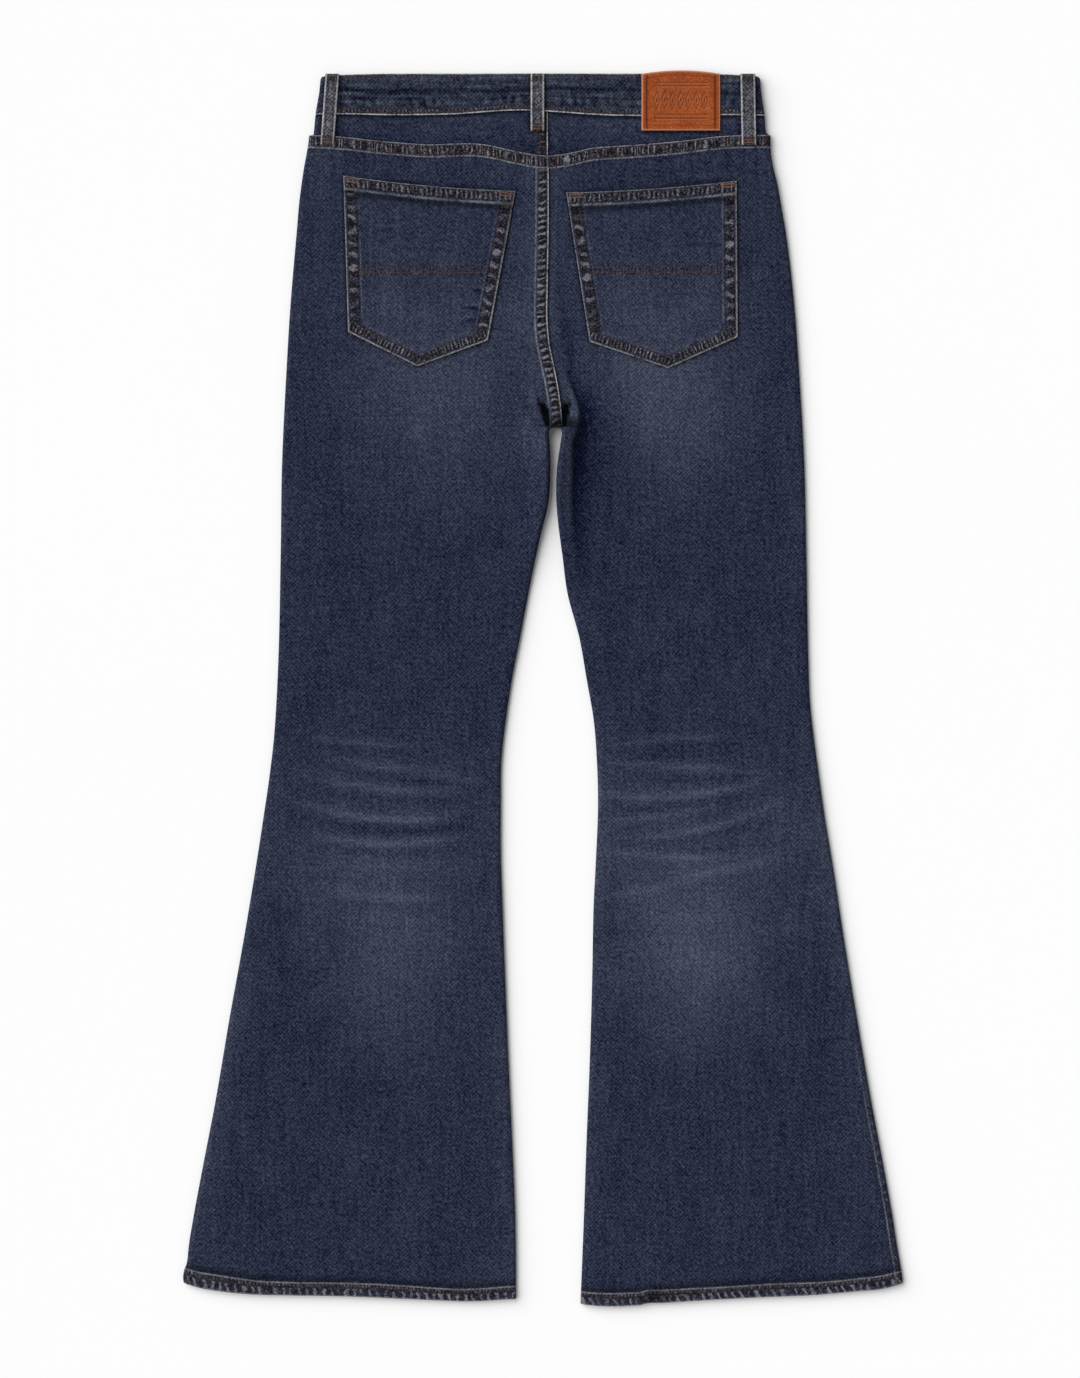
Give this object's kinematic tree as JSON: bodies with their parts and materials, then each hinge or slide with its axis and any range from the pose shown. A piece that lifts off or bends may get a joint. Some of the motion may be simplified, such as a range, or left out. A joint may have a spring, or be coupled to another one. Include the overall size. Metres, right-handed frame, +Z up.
{
  "type": "flared jeans",
  "caption": "Flared denim jeans laid flat with the back side up, with yoke, patch pockets, belt loops and a leather waistband patch.",
  "frame": {"origin": "centre of the garment's length and width, on the surface that it lies on", "axes": "+Y from the hems to the waist, +Z up out of the back of the garment, +X to the right as seen from above, which is the wearer's right"},
  "size_m": [0.6724, 1.1545, 0.0123],
  "materials": {
    "denim": "dark blue washed twill with soft fades",
    "waistband_denim": "dark blue-grey slubby twill",
    "loop_denim": "worn pale blue-grey twill",
    "leather": "smooth cognac leather",
    "zip_tape": "woven tape",
    "brass": "aged",
    "copper": "aged copper plate"
  },
  "bodies": {
    "root": {"back_panel_left": "denim", "back_panel_right": "denim", "front_panel_left": "denim", "front_panel_right": "denim", "yoke_left": "denim", "yoke_right": "denim", "back_pocket_left": "denim", "back_pocket_right": "denim", "front_pocket_facing_left": "denim", "front_pocket_facing_right": "denim", "waistband": "waistband_denim", "belt_loop_centre_back": "loop_denim", "belt_loop_back_left": "loop_denim", "belt_loop_back_right": "loop_denim", "belt_loop_front_left": "loop_denim", "belt_loop_front_right": "loop_denim", "leather_patch": "leather", "zip": "zip_tape", "zip_slider": "brass", "button": "copper"}
  },
  "joints": []
}
